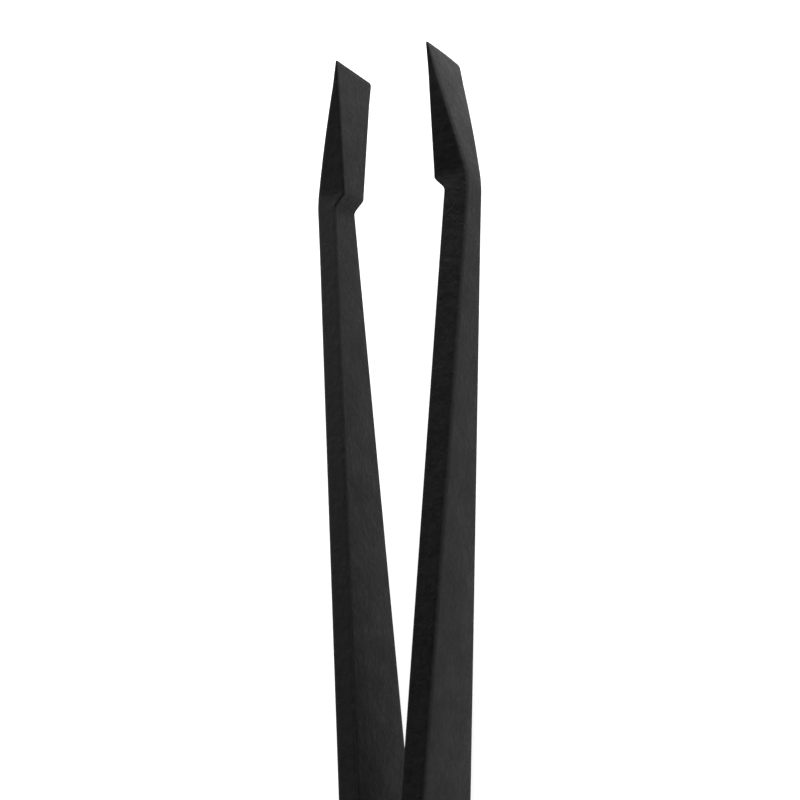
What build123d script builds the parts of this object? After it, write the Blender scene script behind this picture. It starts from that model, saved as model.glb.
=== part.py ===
from build123d import *
import os
from math import radians, tan

# Slant tweezers lying on the lower edges of their blades. +X runs along the length towards the tips,
# +Y is the side of the left arm, +Z is up. The origin is under the centre of the whole, on the surface
# that the blades lie on. Millimetres. Each arm is one strip of steel on the real object. Here it is made
# as three solids, the tail, the leaf that bends and the blade, because the blade turns about the leaf.

# Driving dimensions: the whole
overall_length = 96.0
blade_height = 8.2  # the blades' widest part, from lower edge to upper edge
spread_angle = 3.95  # from the middle plane to each arm's inner face, in degrees
crotch_from_tip = 83.5  # where the two straight inner faces would meet
jaw_gap = 8.18  # between the two claws' inner faces

# Claw: a wedge that stands proud of the inner face by a sloping shoulder
claw_length = 10.7  # tip to the top of the shoulder
shoulder_run = 0.85
heel_from_tip = 10.9  # tip to the bend on the outer side
claw_thickness = 2.86  # at the heel
tip_thickness = 0.14
tip_upper = 2.40  # upper corner of the tip edge, above mid-height
tip_lower = 2.72  # lower corner of the tip edge, below mid-height
tip_slant = 0.6  # how far the lower corner stands back from the upper one

# Arm behind the claw
neck_height = 2.9
grip_thickness = 1.95
grip_end_from_tip = 61.0  # where the arm begins to thin towards its leaf
widest_from_tip = 66.0
outer_rounding = 0.3

# Leaf and tail
leaf_from_tip = 74.0
leaf_length = 14.0
leaf_thickness = 0.8
tail_height = 6.4
tail_corner = 2.6

# Spot welds: lens-shaped spots that join the two tails
weld_diameter = 3.0
weld_thickness = 0.7
weld_spacing = 3.8

# Worked out from them
tip_x = overall_length / 2
tail_x = -overall_length / 2
mid_z = blade_height / 2
crotch_x = tip_x - crotch_from_tip
shoulder_x = tip_x - claw_length
neck_x = shoulder_x - shoulder_run
heel_x = tip_x - heel_from_tip
grip_end_x = tip_x - grip_end_from_tip
widest_x = tip_x - widest_from_tip
leaf_x = tip_x - leaf_from_tip
weld_line_x = leaf_x - leaf_length
claw_face_y = jaw_gap / 2
heel_y = claw_face_y + claw_thickness

side_view = Plane.XY.offset(mid_z)
face_view = Plane.XZ


def inner_y(x):
    """Distance from the middle plane to the arm's straight inner face."""
    return tan(radians(spread_angle)) * (x - crotch_x)


def half_height(x):
    """Half the height of the arm's outline at a place behind the heel."""
    if x >= widest_x:
        share = (heel_x - x) / (heel_x - widest_x)
        return (neck_height + share * (blade_height - neck_height)) / 2
    share = max(0, leaf_x - x) / (leaf_x - tail_x)
    return (blade_height - share * (blade_height - tail_height)) / 2


def outline(stations):
    """Corners of the outline: along the upper edge through the stations, then back along the lower."""
    upper = [(x, mid_z + half_height(x)) for x in stations]
    lower = [(x, mid_z - half_height(x)) for x in reversed(stations)]
    return upper + lower


def long_outer_edges(piece):
    """The edges that run along a piece's outer faces, from the heel back."""
    outer = piece.faces().filter_by(lambda face: face.normal_at().Y > 0.9)
    along = outer.edges().filter_by(lambda edge: abs(edge.tangent_at(0.5).X) > 0.9)
    return along.filter_by(lambda edge: edge.center().X < heel_x)


# Blade: the side profile cut to the outline, its outer edges rounded, its claw ground to a wedge
with BuildPart() as left_blade:
    with BuildSketch(side_view):
        with BuildLine():
            Polyline(
                (leaf_x, inner_y(leaf_x)),
                (neck_x, inner_y(neck_x)),
                (shoulder_x, claw_face_y),
                (tip_x, claw_face_y),
                (tip_x, heel_y),
                (heel_x, heel_y),
                (grip_end_x, inner_y(grip_end_x) + grip_thickness),
                (leaf_x, inner_y(leaf_x) + leaf_thickness),
                close=True,
            )
        make_face()
    extrude(amount=blade_height, both=True)
    with BuildSketch(face_view):
        with BuildLine():
            Polyline(
                (tip_x, mid_z + tip_upper),
                *outline([heel_x, widest_x, leaf_x]),
                (tip_x - tip_slant, mid_z - tip_lower),
                close=True,
            )
        make_face()
    extrude(amount=-2 * heel_y, mode=Mode.INTERSECT)
    fillet(long_outer_edges(left_blade.part), radius=outer_rounding)
    tip_edge = Vector(-tip_slant, 0, -tip_upper - tip_lower)
    tip_corner = Vector(tip_x, claw_face_y + tip_thickness, mid_z + tip_upper)
    to_heel = Vector(heel_x, heel_y, mid_z) - tip_corner
    wedge_face = Plane(origin=tip_corner, x_dir=tip_edge, z_dir=to_heel.cross(tip_edge))
    split(bisect_by=wedge_face, keep=Keep.TOP)

# Leaf: straight at first, then an arc that brings the arm into line with the tail
arc_start_x = crotch_x + (crotch_x - weld_line_x)
with BuildPart() as left_leaf:
    with BuildSketch(side_view):
        with BuildLine():
            outward = Vector(0, leaf_thickness)
            inner_line = Line((leaf_x, inner_y(leaf_x)), (arc_start_x, inner_y(arc_start_x)))
            inner_arc = TangentArc(inner_line @ 1, (weld_line_x, 0), tangent=inner_line % 1)
            Line(inner_arc @ 1, inner_arc @ 1 + outward)
            outer_line = Line(inner_line @ 0 + outward, inner_line @ 1 + outward)
            TangentArc(outer_line @ 1, inner_arc @ 1 + outward, tangent=outer_line % 1)
            Line(inner_line @ 0, outer_line @ 0)
        make_face()
    extrude(amount=blade_height, both=True)
    with BuildSketch(face_view):
        with BuildLine():
            Polyline(*outline([leaf_x, weld_line_x]), close=True)
        make_face()
    extrude(amount=-2 * heel_y, mode=Mode.INTERSECT)
    fillet(long_outer_edges(left_leaf.part), radius=outer_rounding)

# Spot welds: two lenses on the middle plane
weld_cap_height = weld_thickness / 2
weld_cap_radius = ((weld_diameter / 2) ** 2 + weld_cap_height**2) / (2 * weld_cap_height)
weld_middle_x = (weld_line_x + tail_x) / 2
welds = {}
for name, x in (
    ("front_spot_weld", weld_middle_x + weld_spacing / 2),
    ("rear_spot_weld", weld_middle_x - weld_spacing / 2),
):
    with BuildPart() as weld:
        with BuildSketch(Plane(origin=(x, 0, mid_z), x_dir=(1, 0, 0), z_dir=(0, 0, 1))):
            with BuildLine():
                rim = (weld_diameter / 2, 0)
                RadiusArc((0, weld_cap_height), rim, weld_cap_radius)
                RadiusArc(rim, (0, -weld_cap_height), weld_cap_radius)
                Line((0, -weld_cap_height), (0, weld_cap_height))
            make_face()
        revolve(axis=Axis((x, 0, mid_z), (0, 1, 0)))
    welds[name] = weld

# Tail: the flat end that is welded to the other arm's
with BuildPart() as left_tail:
    with BuildSketch(face_view):
        with BuildLine():
            Polyline(*outline([weld_line_x, tail_x]), close=True)
        make_face()
    extrude(amount=-leaf_thickness)
    rear_corners = edges().filter_by(Axis.Y).group_by(Axis.X)[0]
    fillet(rear_corners, radius=tail_corner)
    outer_rim = faces().sort_by(Axis.Y)[-1].edges()
    fillet(outer_rim.filter_by(lambda edge: edge.center().X < weld_line_x - 0.1), radius=outer_rounding)
    for weld in welds.values():
        add(weld.part, mode=Mode.SUBTRACT)

# The right arm is the left arm's mirror image
pieces = {"left_blade": left_blade, "left_leaf": left_leaf, "left_tail": left_tail}
for name in list(pieces):
    with BuildPart() as mirrored:
        mirror(pieces[name].part, about=Plane.XZ)
    pieces[name.replace("left", "right")] = mirrored

os.makedirs("parts", exist_ok=True)
for name, piece in (pieces | welds).items():
    piece.part.label = name
    export_step(piece.part, f"parts/{name}.step")
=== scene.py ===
"""Slant tweezers: the finished surface of both arms, their powder coat, and a pale table to show
them on.

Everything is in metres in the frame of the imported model: +X along the length towards the tips,
+Y towards the left arm, +Z up. Places along an arm are distances back from the tip, called along.
"""

from math import cos, pi, radians, sin, tan

import bpy
import numpy as np
from mathutils import Matrix, Vector


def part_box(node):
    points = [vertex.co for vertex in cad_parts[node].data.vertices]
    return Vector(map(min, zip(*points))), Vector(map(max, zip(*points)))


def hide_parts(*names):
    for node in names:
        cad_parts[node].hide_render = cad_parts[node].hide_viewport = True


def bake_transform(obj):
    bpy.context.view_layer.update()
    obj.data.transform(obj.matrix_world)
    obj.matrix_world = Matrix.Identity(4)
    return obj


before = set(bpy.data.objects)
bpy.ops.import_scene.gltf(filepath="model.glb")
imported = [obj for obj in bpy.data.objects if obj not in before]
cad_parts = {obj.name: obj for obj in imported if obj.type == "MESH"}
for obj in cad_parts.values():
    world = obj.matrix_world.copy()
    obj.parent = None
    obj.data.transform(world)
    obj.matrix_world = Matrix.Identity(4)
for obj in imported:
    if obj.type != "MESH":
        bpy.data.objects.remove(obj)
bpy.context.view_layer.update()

bl_info = {
    "name": "Slant tweezers",
    "version": (1, 0, 0),
    "blender": (4, 5, 0),
    "location": "3D View > Sidebar > Tweezers",
    "description": "Builds the arms of a pair of slant tweezers, their coat and a plain stage",
    "category": "Object",
}

MM = 0.001
ARMS = ("left", "right")
WELDS = ("front_spot_weld", "rear_spot_weld")
BLADE_LOW, BLADE_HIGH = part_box("left_blade")
TAIL_LOW, TAIL_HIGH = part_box("left_tail")
TIP_X, TAIL_X = BLADE_HIGH.x, TAIL_LOW.x
LEAF_X, WELD_LINE_X = BLADE_LOW.x, TAIL_HIGH.x
HEEL_Y = BLADE_HIGH.y
MID_Z = (BLADE_LOW.z + BLADE_HIGH.z) / 2
BLADE_HEIGHT = BLADE_HIGH.z - BLADE_LOW.z
LEAF_THICKNESS = TAIL_HIGH.y - TAIL_LOW.y
LENGTH = TIP_X - TAIL_X
LEAF_START = TIP_X - LEAF_X
WELD_LINE = TIP_X - WELD_LINE_X
WELD_PLACES = [TIP_X - (low.x + high.x) / 2 for low, high in map(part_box, WELDS)]

# How finely an arm's surface is divided
EVEN_STATIONS, BEND_STATIONS, CORNER_STATIONS = 380, 13, 12
SMALLEST_STEP = 2e-7
ARC_POINTS = 8
SIDE_POINTS = (6, 26, 6, 26)  # lower edge, outer face, upper edge, inner face

# Half-widths of its rounded bends, from the tip back
INNER_BENDS = (0.16 * MM, 0.22 * MM)  # top and foot of the shoulder
OUTER_BENDS = (0.9 * MM, 4.0 * MM, 2.5 * MM)  # heel, grip end, start of the leaf
EDGE_BENDS = (0.9 * MM, 3.0 * MM, 3.0 * MM)  # heel, widest place, start of the leaf

# Roundings and drafts, as shares of what they are cut from
TIP_RIM = 0.4  # of the tip's thickness
TAIL_RIM = 0.3  # of the leaf's thickness
OUTER_LIMIT, INNER_LIMIT = 0.45, 0.25  # most that a corner takes of the thickness
HEIGHT_LIMIT = 0.4  # most that a corner takes of the half-height
DRAFT_LIMIT = 0.2  # most that the draft takes of the half-height

# The faces' crown, and the wear at the tip and along the top of the shoulder
CROWN_LEVEL = 0.8  # share of the half-height squared at which the crown is level
CROWN_START, CROWN_END = 6 * MM, 10 * MM  # lengths over which the inner crown comes and goes
TIP_WEAR_REACH = 0.5 * MM
SHOULDER_WEAR, SHOULDER_WEAR_REACH = 0.7, 0.25 * MM

# Sizes of the coat's lumps, as multiples of its grain, and the noise values between which they show
PEEL, SPECK, PATCH, RUB = 2.6, 1.7, 8, 5
# The polish range sets where the edges are lightened, as wear and as a painted edge highlight
SPECK_RANGE, POLISH_AND_HIGHLIGHT_RANGE, LIGHTNESS_RANGE = (0.60, 0.72), (0.55, 1.1), (0.36, 0.64)
COAT_RELIEF, WELD_RELIEF, RELIEF_STRENGTH = 0.06 * MM, 0.02 * MM, 0.5
COAT_SPECULAR = 0.155
WELD_RIPPLE = 0.4 * MM
WELD_SHADE = 0.6  # brightness of the weld's hollows

# The table and its glow, which is faint under the tweezers and full beyond the tips
TABLE_RINGS, TABLE_SPOKES, TABLE_REACH = 24, 96, 2.4
TABLE_SHADE, TABLE_CLOUD = 0.985, 0.05  # brightness and size of its faint clouds
GLOW_START, GLOW_FULL = 0.055, 0.14
FAINT_GLOW, FULL_GLOW = (0.11, 0.11, 0.11, 1.0), (1.0, 1.0, 1.0, 1.0)

# The sky's bands, as heights or distances ahead on the unit sphere, and their strengths
HORIZON_FADE, LOW_FADE = (0.16, 0.26), (0.08, 0.30)
HALFWAY_RISE, HALFWAY_FADE = (0.35, 0.60), (0.70, 0.88)
FRONT_RISE = (-0.25, 0.45)
HORIZON_GLOW, OVERHEAD_GLOW = 0.85, 0.01
LOW_GLOW, LOW_AHEAD = 0.2, 2.6
HALFWAY_GLOW, HALFWAY_AHEAD, HALFWAY_LEFT = 0.12, 1.7, 2.1
WHITE = (1.0, 1.0, 1.0, 1.0)

SENSOR_WIDTH = 36.0
NEAREST, FURTHEST = 0.01, 10.0


def length_property(name, default_mm, description):
    """A size in millimetres that the sidebar shows in the scene's units."""
    return bpy.props.FloatProperty(
        name=name,
        description=description,
        default=default_mm * MM,
        min=0.0,
        unit="LENGTH",
        precision=5,
    )


def angle_property(name, default_degrees, description):
    """An angle given in degrees and kept in radians."""
    return bpy.props.FloatProperty(
        name=name, description=description, default=radians(default_degrees), unit="ROTATION"
    )


def power_property(name, default_watts, description):
    """The power of a lamp."""
    return bpy.props.FloatProperty(
        name=name, description=description, default=default_watts, min=0.0, unit="POWER"
    )


def share_property(name, default, description):
    """A share between 0 and 1."""
    return bpy.props.FloatProperty(
        name=name, description=description, default=default, min=0.0, max=1.0, subtype="FACTOR"
    )


def colour_property(name, default, description):
    """A colour in linear red, green and blue."""
    return bpy.props.FloatVectorProperty(
        name=name,
        description=description,
        default=default,
        size=3,
        min=0.0,
        max=1.0,
        subtype="COLOR",
    )


class ArmSizes(bpy.types.PropertyGroup):
    """Shape of one arm. The other is its mirror image."""

    spread: angle_property("Spread", 3.95, "Angle from the middle plane to the inner face")
    crotch: length_property("Crotch", 83.5, "Tips to where the straight inner faces would meet")
    jaw_gap: length_property("Jaw gap", 8.18, "Gap between the two claws")
    claw_length: length_property("Claw length", 10.7, "Tip to the top of the claw's shoulder")
    shoulder_run: length_property("Shoulder run", 0.85, "Length of the sloping shoulder")
    heel: length_property("Heel", 10.9, "Tip to the bend on the outer side")
    tip_thickness: length_property("Tip thickness", 0.14, "Thickness of the tip edge")
    tip_upper: length_property("Upper tip corner", 2.40, "Height of that corner above mid-height")
    tip_lower: length_property("Lower tip corner", 2.72, "Depth of that corner below mid-height")
    tip_slant: length_property("Tip slant", 0.6, "How far the lower tip corner stands back")
    tip_upper_corner: length_property("Upper corner radius", 0.10, "Rounding of that corner")
    tip_lower_corner: length_property("Lower corner radius", 0.34, "Rounding of that corner")
    neck_height: length_property("Neck height", 2.9, "Height of the arm at the heel")
    grip_thickness: length_property("Grip thickness", 1.95, "Thickness of the arm at the grip")
    grip_end: length_property("Grip end", 61.0, "Tip to where the arm begins to thin")
    widest: length_property("Widest place", 66.0, "Tip to where the blade reaches its full height")
    tail_height: length_property("Tail height", 6.4, "Height of the tail at its end")
    tail_corner: length_property("Tail corner", 2.6, "Radius of the tail's two corners")
    heel_draft: length_property("Draft at heel", 0.35, "How far the outer face is drawn in")
    grip_draft: length_property("Draft at grip", 0.11, "The same, at the grip")
    outer_radius: length_property("Outer edges", 0.30, "Rounding of the outer edges")
    inner_radius: length_property("Inner edges", 0.18, "Rounding of the inner edges")
    outer_crown: length_property("Outer crown", 40.0, "Radius of the outer face from edge to edge")
    inner_crown: length_property("Inner crown", 70.0, "The same, from the claw to the leaf")
    wedge_swell: length_property("Wedge swell", 0.09, "Swell of the ground wedge halfway along")
    weld_mark: length_property("Weld mark", 1.3, "Radius of the shallow dimple over each spot weld")
    weld_depth: length_property("Weld mark depth", 0.05, "Depth of that dimple")


class CoatLook(bpy.types.PropertyGroup):
    """Matt black powder coat, and the bare weld metal that is sealed under it."""

    coat: colour_property("Coat", (0.0018, 0.0018, 0.0020), "Black of the coat in its hollows")
    grain: colour_property("Grain", (0.0060, 0.0059, 0.0062), "Lighter black of its raised grain")
    # Lighter colour along the edges: wear, and partly a painted edge highlight
    worn_and_highlight: colour_property("Worn edge", (0.018, 0.0177, 0.0176), "Coat polished along the edges")
    weld: colour_property("Weld metal", (0.42, 0.41, 0.40), "Bare metal of the spot welds")
    grain_size: length_property("Grain size", 0.25, "Size of the powder grain")
    roughness: share_property("Roughness", 0.56, "Roughness of the coat")
    # How much the edges take the lighter colour, as wear and as a painted edge highlight
    wear_and_highlight: share_property("Wear", 0.5, "How much the edges are polished")


class StageLook(bpy.types.PropertyGroup):
    """Pale table, soft studio light and the camera."""

    table: colour_property("Table", (0.86, 0.86, 0.85), "Colour of the table top")
    table_glow: bpy.props.FloatProperty(
        name="Table glow",
        description="Light of the light table beyond the tips",
        default=7.0,
        min=0.0,
    )
    front_power: power_property("Front light", 1.3, "Power of the soft box beyond the tips")
    side_power: power_property("Side light", 0.7, "Power of the soft box beside the left arm")
    view_side: angle_property("View side", 31.42, "Camera's lean towards the right arm")
    view_lean: angle_property("View lean", -8.85, "Camera's lean towards the tips")
    view_roll: angle_property("View roll", -0.65, "Turn of the camera about its own line of sight")
    view_distance: length_property("View distance", 154.2, "Camera to the point it looks at")
    view_place: length_property("View place", 27.34, "Tips back to the point the camera looks at")
    view_offset: length_property("View offset", 0.055, "How far left of the middle that point lies")
    lens: bpy.props.FloatProperty(
        name="Lens",
        description="Focal length for a 36 mm sensor, in millimetres",
        default=90.0,
        min=10.0,
    )


# Surfaces ----------------------------------------------------------------------------------------


def ramp(t, half):
    """0 before -half, t after +half, and the parabola (t + half)^2 / (4 half) between them."""
    rounded = (t + half) ** 2 / (4 * half)
    return np.where(np.abs(t) < half, rounded, np.maximum(t, 0.0))


def bent_line(along, start, places, slopes, halves):
    """A line of straight runs whose bends are rounded over the given half-widths.

    It is start + slopes[0] * along, plus at each place the change to the next slope times
    ramp(along - place)."""
    value = start + slopes[0] * along
    for place, before, after, half in zip(places, slopes, slopes[1:], halves):
        value = value + (after - before) * ramp(along - place, half)
    return value


def run_slopes(points):
    """Places and slopes of the runs through (along, value) points."""
    places = [point[0] for point in points]
    slopes = [
        (after[1] - before[1]) / (after[0] - before[0]) for before, after in zip(points, points[1:])
    ]
    return places[1:-1], slopes


def drawn_in(distance, radius):
    """How far a quarter-round corner draws an edge in: r - sqrt(r^2 - (r - d)^2) at distance d."""
    d = np.clip(distance, 0.0, radius)
    return radius - np.sqrt(np.maximum(radius**2 - (radius - d) ** 2, 0.0))


def stations(bends, ends):
    """Places along the arm, in order, without those closer than the smallest step.

    There are even ones, finer ones through each (place, half-width) bend, and ones at equal angles
    round each (end, radius) corner, where end is 0 for the tip and LENGTH for the tail."""
    parts = [np.linspace(0.0, LENGTH, EVEN_STATIONS)]
    for place, half in bends:
        parts.append(np.linspace(place - half, place + half, BEND_STATIONS))
    for end, radius in ends:
        turn = np.linspace(0.0, pi / 2, CORNER_STATIONS)
        parts.append(np.abs(end - radius * (1 - np.cos(turn))))
    every = np.sort(np.concatenate(parts))
    return every[np.concatenate([[True], np.diff(every) > SMALLEST_STEP])]


def rounded_sections(corners, radii, arc_points, side_points):
    """Closed outlines with rounded corners, one per station.

    With e1 the direction into a corner and e2 the direction back from the next one, the corner's
    points are corner - r e1 - r e2 + r (sin t e1 + cos t e2), for t from 0 to a quarter turn.
    Points in line join one corner to the next. corners is (stations, 4, 2) and radii (stations, 4).
    Also returns 1 in the middle of a corner falling to 0 on the sides."""
    following = np.roll(corners, -1, axis=1)
    ahead = following - corners
    ahead /= np.linalg.norm(ahead, axis=2, keepdims=True)
    e1 = np.roll(ahead, 1, axis=1)[:, :, None, :]
    e2 = -ahead[:, :, None, :]
    r = radii[:, :, None, None]
    t = np.linspace(0.0, pi / 2, arc_points)[None, None, :, None]
    arcs = corners[:, :, None, :] - r * (e1 + e2) + r * (np.sin(t) * e1 + np.cos(t) * e2)
    begin = arcs[:, :, -1:, :]
    finish = np.roll(arcs[:, :, :1, :], -1, axis=1)
    outline, cornerness = [], []
    for side, count in enumerate(side_points):
        share = np.linspace(0.0, 1.0, count + 2)[1:-1][None, :, None]
        outline += [arcs[:, side], begin[:, side] * (1 - share) + finish[:, side] * share]
        cornerness += [np.sin(np.linspace(0.0, pi, arc_points)), np.zeros(count)]
    return np.concatenate(outline, axis=1), np.concatenate(cornerness)


def arm_surface(sizes):
    """Grid of points over the left arm, stations by places round the section, and its mask of edge
    wear and painted edge highlight.

    The inner face follows the claw, climbs the shoulder and then runs straight at the spread angle
    until the leaf turns it into the middle plane. The outer face is the ground wedge, the arm and
    the leaf. Both are lines of straight runs with rounded bends. So are the upper and lower edges,
    which close in from the tip to the neck, widen to the full blade and narrow to the tail. Each
    section is a rounded four-sided outline between them.

    The wedge swells by 4 * swell * s * (1 - s), with s the share of the way to the heel. Each edge
    of the outer face is drawn in by the draft, which grows with s squared to the heel and then
    falls evenly to the grip's. Both faces are crowned by (CROWN_LEVEL h^2 - z^2) / (2 R), for
    half-height h and crown radius R, the inner one only between the claw and the leaf. Each spot
    weld sinks the outer face by its depth times exp(-(d / w)^4), for distance d and mark radius w.
    Crown and dimple fade with the fourth power of the way through the thickness. The slant sets a
    point back by its share of the way down the tip, in full at the tip and not behind the claw."""
    claw_y = sizes.jaw_gap / 2
    lean = tan(sizes.spread)
    neck = sizes.claw_length + sizes.shoulder_run
    bend_half = WELD_LINE - sizes.crotch

    def straight(along):
        return lean * (sizes.crotch - along)

    inner_points = [
        (0.0, claw_y),
        (sizes.claw_length, claw_y),
        (neck, straight(neck)),
        (sizes.crotch, 0.0),
        (LENGTH, 0.0),
    ]
    outer_points = [
        (0.0, claw_y + sizes.tip_thickness),
        (sizes.heel, HEEL_Y),
        (sizes.grip_end, straight(sizes.grip_end) + sizes.grip_thickness),
        (LEAF_START, straight(LEAF_START) + LEAF_THICKNESS),
        (sizes.crotch, LEAF_THICKNESS),
        (LENGTH, LEAF_THICKNESS),
    ]
    edge_points = [
        (sizes.heel, sizes.neck_height / 2),
        (sizes.widest, BLADE_HEIGHT / 2),
        (LEAF_START, BLADE_HEIGHT / 2),
        (LENGTH, sizes.tail_height / 2),
    ]
    inner_halves = (*INNER_BENDS, bend_half)
    outer_halves = (*OUTER_BENDS, bend_half)
    tail_rim = TAIL_RIM * LEAF_THICKNESS
    tip_rim = TIP_RIM * sizes.tip_thickness
    bends = [
        *zip(run_slopes(inner_points)[0], inner_halves),
        *zip(run_slopes(outer_points)[0], outer_halves),
        *zip(run_slopes(edge_points)[0], EDGE_BENDS[1:]),
    ]
    ends = [
        (0.0, tip_rim),
        (0.0, sizes.tip_upper_corner),
        (0.0, sizes.tip_lower_corner),
        (LENGTH, tail_rim),
        (LENGTH, sizes.tail_corner),
    ]
    along = stations(bends, ends)

    def profile(points, halves):
        places, slopes = run_slopes(points)
        return bent_line(along, points[0][1], places, slopes, halves)

    rim = drawn_in(along, tip_rim) + drawn_in(LENGTH - along, tail_rim)
    tail_curve = drawn_in(LENGTH - along, sizes.tail_corner)
    inner = profile(inner_points, inner_halves) + rim
    to_heel = np.clip(along / sizes.heel, 0.0, 1.0)
    swell = 4 * sizes.wedge_swell * to_heel * (1 - to_heel)
    outer = profile(outer_points, outer_halves) - rim + swell
    upper = profile([(0.0, sizes.tip_upper), *edge_points], EDGE_BENDS) - rim - tail_curve
    lower = profile([(0.0, sizes.tip_lower), *edge_points], EDGE_BENDS) - rim - tail_curve
    upper -= drawn_in(along, sizes.tip_upper_corner)
    lower -= drawn_in(along, sizes.tip_lower_corner)
    drafts = [sizes.heel_draft, sizes.grip_draft]
    draft = np.interp(along, [sizes.heel, sizes.grip_end], drafts) * to_heel**2
    draft = np.minimum(draft, DRAFT_LIMIT * upper)

    thickness = outer - inner
    room = HEIGHT_LIMIT * upper
    outer_radius = np.minimum(sizes.outer_radius, np.minimum(OUTER_LIMIT * thickness, room))
    inner_radius = np.minimum(sizes.inner_radius, np.minimum(INNER_LIMIT * thickness, room))
    corners = np.stack(
        [
            np.stack([inner, -lower], axis=1),
            np.stack([outer, draft - lower], axis=1),
            np.stack([outer, upper - draft], axis=1),
            np.stack([inner, upper], axis=1),
        ],
        axis=1,
    )
    radii = np.stack([inner_radius, outer_radius, outer_radius, inner_radius], axis=1)
    sections, cornerness = rounded_sections(corners, radii, ARC_POINTS, SIDE_POINTS)
    y, z = sections[:, :, 0], sections[:, :, 1]

    fade = np.clip(1 - along / sizes.claw_length, 0.0, 1.0)
    share_down = (sizes.tip_upper - z) / (sizes.tip_upper + sizes.tip_lower)
    back = along[:, None] + sizes.tip_slant * fade[:, None] * share_down
    depth = np.clip((y - inner[:, None]) / thickness[:, None], 0.0, 1.0)
    outer_side, inner_side = depth**4, (1 - depth) ** 4
    crown = CROWN_LEVEL * upper[:, None] ** 2 - z**2
    blade = np.clip((along - neck) / CROWN_START, 0.0, 1.0)
    blade = blade * np.clip((LEAF_START - along) / CROWN_END, 0.0, 1.0)
    y = y + outer_side * crown / (2 * sizes.outer_crown)
    y = y - inner_side * crown * blade[:, None] / (2 * sizes.inner_crown)
    for place in WELD_PLACES:
        reach = ((back - place) ** 2 + z**2) / sizes.weld_mark**2
        y = y - sizes.weld_depth * outer_side * np.exp(-(reach**2))

    # Mask for the lighter edge colour: wear at the tip and the shoulder, and wear and painted
    # highlight along every rounded corner
    near_tip = np.exp(-((along / TIP_WEAR_REACH) ** 2))
    from_shoulder = (along - sizes.claw_length) / SHOULDER_WEAR_REACH
    near_shoulder = SHOULDER_WEAR * np.exp(-(from_shoulder**2))
    wear_and_highlight = np.maximum(cornerness[None, :], np.maximum(near_tip, near_shoulder)[:, None])
    return np.stack([TIP_X - back, y, z + MID_Z], axis=2), wear_and_highlight


def mesh_from_grid(name, grid, wear_and_highlight, outward):
    """Closed mesh over a grid whose rows are closed outlines, with a flat cap at each end.

    outward is 1 where the grid already turns the right way, and -1 where its faces are reversed."""
    rows, columns = grid.shape[:2]
    index = np.arange(rows * columns).reshape(rows, columns)
    across = np.roll(index, -1, axis=1)
    quads = np.stack([index[:-1], across[:-1], across[1:], index[1:]], axis=-1).reshape(-1, 4)
    caps = [index[0][::-1].tolist(), index[-1].tolist()]
    if outward < 0:
        quads = quads[:, ::-1]
        caps = [cap[::-1] for cap in caps]
    mesh = bpy.data.meshes.new(name)
    mesh.from_pydata(grid.reshape(-1, 3).tolist(), [], quads.tolist() + caps)
    mesh.polygons.foreach_set("use_smooth", np.ones(len(mesh.polygons), bool))
    mesh.polygons[-1].use_smooth = mesh.polygons[-2].use_smooth = False
    # Mask of edge wear and painted edge highlight, read by the coat
    attribute = mesh.attributes.new("edge_wear_and_highlight", "FLOAT", "POINT")
    attribute.data.foreach_set("value", np.ascontiguousarray(wear_and_highlight.ravel(), np.float32))
    mesh.validate()
    mesh.update()
    piece = bpy.data.objects.new(name, mesh)
    bpy.context.scene.collection.objects.link(piece)
    return piece


# Shader maths ------------------------------------------------------------------------------------


class Value:
    """A socket of a shader node. Its sums, differences and products add Math nodes."""

    def __init__(self, graph, socket):
        self.graph = graph
        self.socket = socket

    def _math(self, operation, first, second):
        return self.graph.node("ShaderNodeMath", {"operation": operation}, {0: first, 1: second})

    def __add__(self, other):
        return self._math("ADD", self, other)

    def __radd__(self, other):
        return self._math("ADD", other, self)

    def __sub__(self, other):
        return self._math("SUBTRACT", self, other)

    def __rsub__(self, other):
        return self._math("SUBTRACT", other, self)

    def __mul__(self, other):
        return self._math("MULTIPLY", self, other)

    def __rmul__(self, other):
        return self._math("MULTIPLY", other, self)


class Graph:
    """Builds a material's or a world's nodes."""

    def __init__(self, owner):
        owner.use_nodes = True
        self.tree = owner.node_tree
        self.tree.nodes.clear()

    def node(self, kind, settings=None, inputs=None, output=0):
        """Add a node of this kind: its settings first, then its sockets' values or links."""
        made = self.tree.nodes.new(kind)
        for name, value in (settings or {}).items():
            setattr(made, name, value)
        for name, value in (inputs or {}).items():
            if isinstance(value, Value):
                self.tree.links.new(value.socket, made.inputs[name])
            else:
                made.inputs[name].default_value = value
        return Value(self, made.outputs[output]) if len(made.outputs) else made

    def mix(self, factor, first, second):
        """Colour between first and second."""
        settings = {"data_type": "RGBA"}
        return self.node("ShaderNodeMix", settings, {0: factor, 6: first, 7: second}, output=2)

    def between(self, value, low, high, start=0.0, end=1.0):
        """start at low, end at high, with a smooth turn between them."""
        settings = {"interpolation_type": "SMOOTHSTEP"}
        inputs = {0: value, 1: low, 2: high, 3: start, 4: end}
        return self.node("ShaderNodeMapRange", settings, inputs)

    def place(self):
        """Object coordinates, which are metres in the model's frame."""
        return self.node("ShaderNodeTexCoord", output="Object")

    def axes(self, vector):
        """The x, y and z of a vector."""
        first = self.node("ShaderNodeSeparateXYZ", None, {0: vector})
        return [Value(self, socket) for socket in first.socket.node.outputs]

    def noise(self, place, size, detail=2.0, roughness=0.5):
        """Noise whose lumps are about size metres across."""
        inputs = {"Vector": place, "Scale": 1 / size, "Detail": detail, "Roughness": roughness}
        return self.node("ShaderNodeTexNoise", None, inputs)

    def relief(self, height, distance):
        """Normal of a surface raised by height times distance metres."""
        inputs = {"Strength": RELIEF_STRENGTH, "Distance": distance, "Height": height}
        return self.node("ShaderNodeBump", None, inputs)


def rgba(colour):
    """A colour with full opacity."""
    return (*colour, 1.0)


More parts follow.
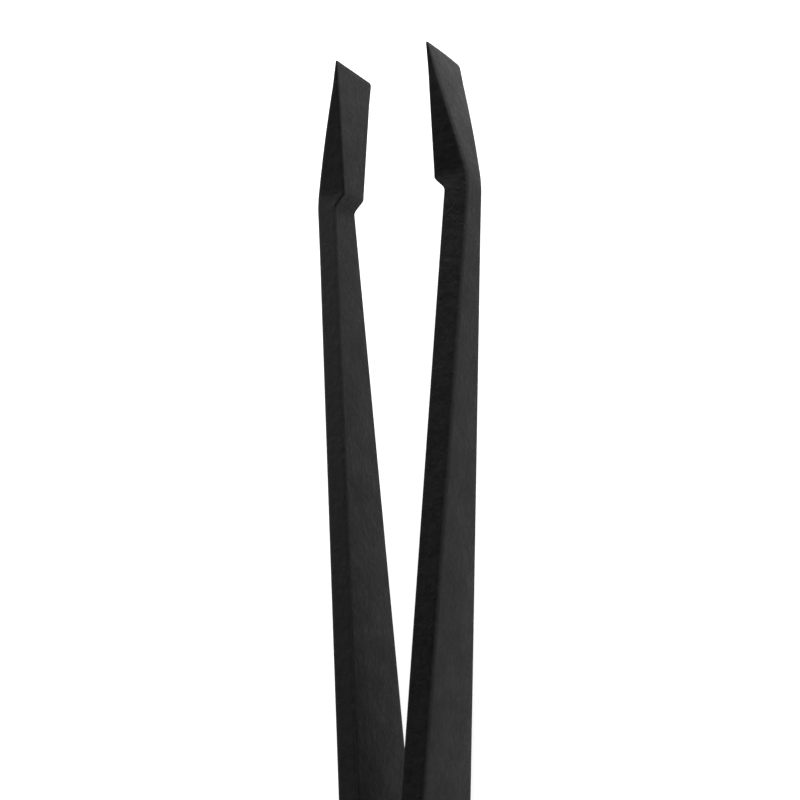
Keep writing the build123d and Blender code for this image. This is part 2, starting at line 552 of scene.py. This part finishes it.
def powder_coat(look):
    """Matt black powder coat: a fine raised grain, faint orange peel, and edges polished by use and
    lightened as a painted highlight.

    Its lightness is mostly the sum of the grain, the peel and broad patches, and partly lone
    specks. The polish is the edge mask broken up by noise. It lightens the coat, as wear and partly
    as a painted edge highlight, smooths it and takes down its relief."""
    material = bpy.data.materials.new("matt_black_powder_coat")
    graph = Graph(material)
    place = graph.place()
    grain = graph.noise(place, look.grain_size, detail=3.0, roughness=0.6)
    peel = graph.noise(place, PEEL * look.grain_size, detail=2.0)
    speck_noise = graph.noise(place, SPECK * look.grain_size, detail=1.0)
    specks = graph.between(speck_noise, *SPECK_RANGE)
    patches = graph.noise(place, PATCH * look.grain_size, detail=3.0)
    edge = graph.node("ShaderNodeAttribute", {"attribute_name": "edge_wear_and_highlight"}, output="Fac")
    rub = graph.noise(place, RUB * look.grain_size, detail=3.0, roughness=0.65)
    # Edges lightened by polish: wear, and partly a painted edge highlight
    polish_and_highlight = graph.between(edge * 0.75 + rub * 0.5, *POLISH_AND_HIGHLIGHT_RANGE) * look.wear_and_highlight

    mottle = grain * 0.4 + peel * 0.4 + patches * 0.2
    lightness = graph.between(mottle, *LIGHTNESS_RANGE) * 0.8 + specks * 0.2
    colour = graph.mix(lightness, rgba(look.coat), rgba(look.grain))
    # Painted edge highlight and wear: the edges take the lighter worn colour
    colour = graph.mix(polish_and_highlight, colour, rgba(look.worn_and_highlight))
    roughness = look.roughness + (grain - 0.5) * 0.25 + (patches - 0.5) * 0.3 - polish_and_highlight * 0.14
    height = grain * 0.5 + peel * 1.3 + specks * 0.3 - polish_and_highlight * 0.3
    normal = graph.relief(height, COAT_RELIEF)
    shader = graph.node(
        "ShaderNodeBsdfPrincipled",
        None,
        {
            "Base Color": colour,
            "Roughness": roughness,
            "Normal": normal,
            "Specular IOR Level": COAT_SPECULAR,
        },
    )
    graph.node("ShaderNodeOutputMaterial", None, {"Surface": shader})
    return material


def weld_metal(look):
    """Bare fused steel with a grey, slightly rippled surface."""
    material = bpy.data.materials.new("fused_weld_metal")
    graph = Graph(material)
    ripple = graph.noise(graph.place(), WELD_RIPPLE, detail=4.0)
    dark = [WELD_SHADE * part for part in look.weld]
    shader = graph.node(
        "ShaderNodeBsdfPrincipled",
        None,
        {
            "Base Color": graph.mix(ripple, rgba(dark), rgba(look.weld)),
            "Metallic": 1.0,
            "Roughness": ripple * 0.3 + 0.25,
            "Normal": graph.relief(ripple, WELD_RELIEF),
        },
    )
    graph.node("ShaderNodeOutputMaterial", None, {"Surface": shader})
    return material


# Operators ---------------------------------------------------------------------------------------


class TWEEZERS_OT_arms(bpy.types.Operator):
    """Build both arms, each one continuous strip from its tail to its tip"""

    bl_idname = "tweezers.arms"
    bl_label = "Arms"

    def execute(self, context):
        grid, wear_and_highlight = arm_surface(context.scene.tweezers_arm)
        coat = powder_coat(context.scene.tweezers_coat)
        for arm, mirror in zip(ARMS, (1, -1)):
            piece = mesh_from_grid(f"{arm}_arm", grid * [1, mirror, 1], wear_and_highlight, mirror)
            piece.data.materials.append(coat)
            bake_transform(piece)
            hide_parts(f"{arm}_blade", f"{arm}_leaf", f"{arm}_tail")
        return {"FINISHED"}


class TWEEZERS_OT_welds(bpy.types.Operator):
    """Finish the two spot welds that are sealed between the tails"""

    bl_idname = "tweezers.welds"
    bl_label = "Spot welds"

    def execute(self, context):
        metal = weld_metal(context.scene.tweezers_coat)
        for name in WELDS:
            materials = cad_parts[name].data.materials
            materials.clear()
            materials.append(metal)
        return {"FINISHED"}


class TWEEZERS_OT_stage(bpy.types.Operator):
    """Lay the table, light it softly and set the camera"""

    bl_idname = "tweezers.stage"
    bl_label = "Stage"

    def execute(self, context):
        look = context.scene.tweezers_stage
        make_table(look)
        make_light(context.scene, look)
        make_camera(context.scene, look)
        return {"FINISHED"}


def make_table(look):
    """A round table top that glows beyond the tips.

    Its points are (r cos t, r sin t, 0), with r the reach times the square of an even share, so
    the rings are finest in the middle, which one point closes."""
    radius = TABLE_REACH * np.linspace(0.0, 1.0, TABLE_RINGS + 1)[1:, None] ** 2
    turn = np.linspace(0.0, 2 * pi, TABLE_SPOKES, endpoint=False)[None, :]
    flat = np.zeros((TABLE_RINGS, TABLE_SPOKES))
    grid = np.stack([radius * np.cos(turn), radius * np.sin(turn), flat], axis=2)
    points = np.concatenate([[[0.0, 0.0, 0.0]], grid.reshape(-1, 3)])
    index = 1 + np.arange(flat.size).reshape(flat.shape)
    onward = np.roll(index, -1, axis=1)
    quads = np.stack([index[:-1], index[1:], onward[1:], onward[:-1]], axis=-1).reshape(-1, 4)
    middle = np.stack([np.zeros(TABLE_SPOKES, int), index[0], onward[0]], axis=-1)
    mesh = bpy.data.meshes.new("table_top")
    mesh.from_pydata(points.tolist(), [], quads.tolist() + middle.tolist())
    mesh.update()
    table = bpy.data.objects.new("table_top", mesh)
    bpy.context.scene.collection.objects.link(table)

    material = bpy.data.materials.new("pale_table")
    graph = Graph(material)
    place = graph.place()
    cloud = graph.noise(place, TABLE_CLOUD, detail=3.0)
    darker = [TABLE_SHADE * part for part in look.table]
    shade = graph.mix(cloud, rgba(darker), rgba(look.table))
    towards_tips = graph.axes(place)[0]
    glow = graph.mix(graph.between(towards_tips, GLOW_START, GLOW_FULL), FAINT_GLOW, FULL_GLOW)
    shader = graph.node(
        "ShaderNodeBsdfPrincipled",
        None,
        {
            "Base Color": shade,
            "Roughness": 0.9,
            "Specular IOR Level": 0.1,
            "Emission Color": glow,
            "Emission Strength": look.table_glow,
        },
    )
    graph.node("ShaderNodeOutputMaterial", None, {"Surface": shader})
    mesh.materials.append(material)


def make_light(scene, look):
    """A studio that is bright at the horizon and dark overhead, with two soft boxes.

    The sky's strength is the sum of a horizon band, a low band that grows ahead of the tips, a
    band halfway up that grows ahead and to the left and is cut off behind, and a faint rest. One
    soft box stands beyond the tips, and the other beyond the tail on the left arm's side. Both
    face the middle of the tweezers."""
    world = bpy.data.worlds.new("studio")
    graph = Graph(world)
    x, y, height = graph.axes(graph.node("ShaderNodeTexCoord", output="Generated"))
    ahead = graph.between(x, 0.0, 1.0)
    left = graph.between(y, 0.0, 1.0)
    front = graph.between(x, *FRONT_RISE)
    horizon = graph.between(height, *HORIZON_FADE, 1.0, 0.0)
    low = graph.between(height, *LOW_FADE, 1.0, 0.0)
    halfway = graph.between(height, *HALFWAY_RISE) * graph.between(height, *HALFWAY_FADE, 1.0, 0.0)
    low_glow = low * (LOW_GLOW + LOW_AHEAD * ahead)
    upper_glow = halfway * front * (HALFWAY_GLOW + HALFWAY_AHEAD * ahead + HALFWAY_LEFT * left)
    strength = horizon * HORIZON_GLOW + low_glow + upper_glow + OVERHEAD_GLOW
    background = graph.node("ShaderNodeBackground", None, {"Color": WHITE, "Strength": strength})
    graph.node("ShaderNodeOutputWorld", None, {"Surface": background})
    scene.world = world
    scene.view_settings.view_transform = "Standard"

    soft_boxes = (  # name, place, width and height, power
        ("front_soft_box", (0.27, -0.02, 0.055), (0.24, 0.09), look.front_power),
        ("side_soft_box", (-0.34, 0.36, 0.15), (0.32, 0.26), look.side_power),
    )
    for name, place, size, power in soft_boxes:
        light = bpy.data.lights.new(name, "AREA")
        light.energy = power
        light.shape = "RECTANGLE"
        light.size, light.size_y = size
        place = Vector(place)
        turn = place.to_track_quat("Z", "Y").to_matrix().to_4x4()
        soft_box = bpy.data.objects.new(name, light)
        soft_box.matrix_world = Matrix.Translation(place) @ turn
        scene.collection.objects.link(soft_box)


def make_camera(scene, look):
    """Camera over the right arm's side, with the tips towards the top of the picture.

    It leans from straight above by view_side about the length and by view_lean about the width, is
    rolled about its line of sight, and stands back from the point that it looks at."""
    camera = bpy.data.cameras.new("camera")
    camera.lens = look.lens
    camera.sensor_width = SENSOR_WIDTH
    camera.clip_start, camera.clip_end = NEAREST, FURTHEST
    side, lean, roll = look.view_side, look.view_lean, look.view_roll
    back = Vector((sin(lean), -sin(side) * cos(lean), cos(side) * cos(lean)))
    right = (-back).cross(Vector((1, 0, 0))).normalized()
    up = right.cross(-back)
    turned_right = cos(roll) * right + sin(roll) * up
    turned_up = cos(roll) * up - sin(roll) * right
    aim = Vector((TIP_X - look.view_place, look.view_offset, MID_Z))
    rig = bpy.data.objects.new("camera", camera)
    turn = Matrix((turned_right, turned_up, back)).transposed().to_4x4()
    rig.matrix_world = Matrix.Translation(aim + back * look.view_distance) @ turn
    scene.collection.objects.link(rig)
    scene.camera = rig


class TWEEZERS_PT_panel(bpy.types.Panel):
    """Sidebar panel that lists the sizes, the colours and the operators"""

    bl_idname = "TWEEZERS_PT_panel"
    bl_label = "Slant tweezers"
    bl_space_type = "VIEW_3D"
    bl_region_type = "UI"
    bl_category = "Tweezers"

    def draw(self, context):
        for group_name in GROUPS:
            group = getattr(context.scene, group_name)
            box = self.layout.box()
            for key in group.bl_rna.properties.keys():
                if key not in {"rna_type", "name"}:
                    box.prop(group, key)
        for operator in OPERATORS:
            self.layout.operator(operator.bl_idname)


GROUPS = {"tweezers_arm": ArmSizes, "tweezers_coat": CoatLook, "tweezers_stage": StageLook}
OPERATORS = (TWEEZERS_OT_arms, TWEEZERS_OT_welds, TWEEZERS_OT_stage)


def register():
    for cls in (*GROUPS.values(), *OPERATORS, TWEEZERS_PT_panel):
        bpy.utils.register_class(cls)
    for name, cls in GROUPS.items():
        setattr(bpy.types.Scene, name, bpy.props.PointerProperty(type=cls))


def unregister():
    for name in GROUPS:
        delattr(bpy.types.Scene, name)
    for cls in (TWEEZERS_PT_panel, *reversed(OPERATORS), *reversed(GROUPS.values())):
        bpy.utils.unregister_class(cls)


def main():
    register()
    bpy.ops.tweezers.arms()
    bpy.ops.tweezers.welds()
    bpy.ops.tweezers.stage()


if __name__ == "__main__":
    main()
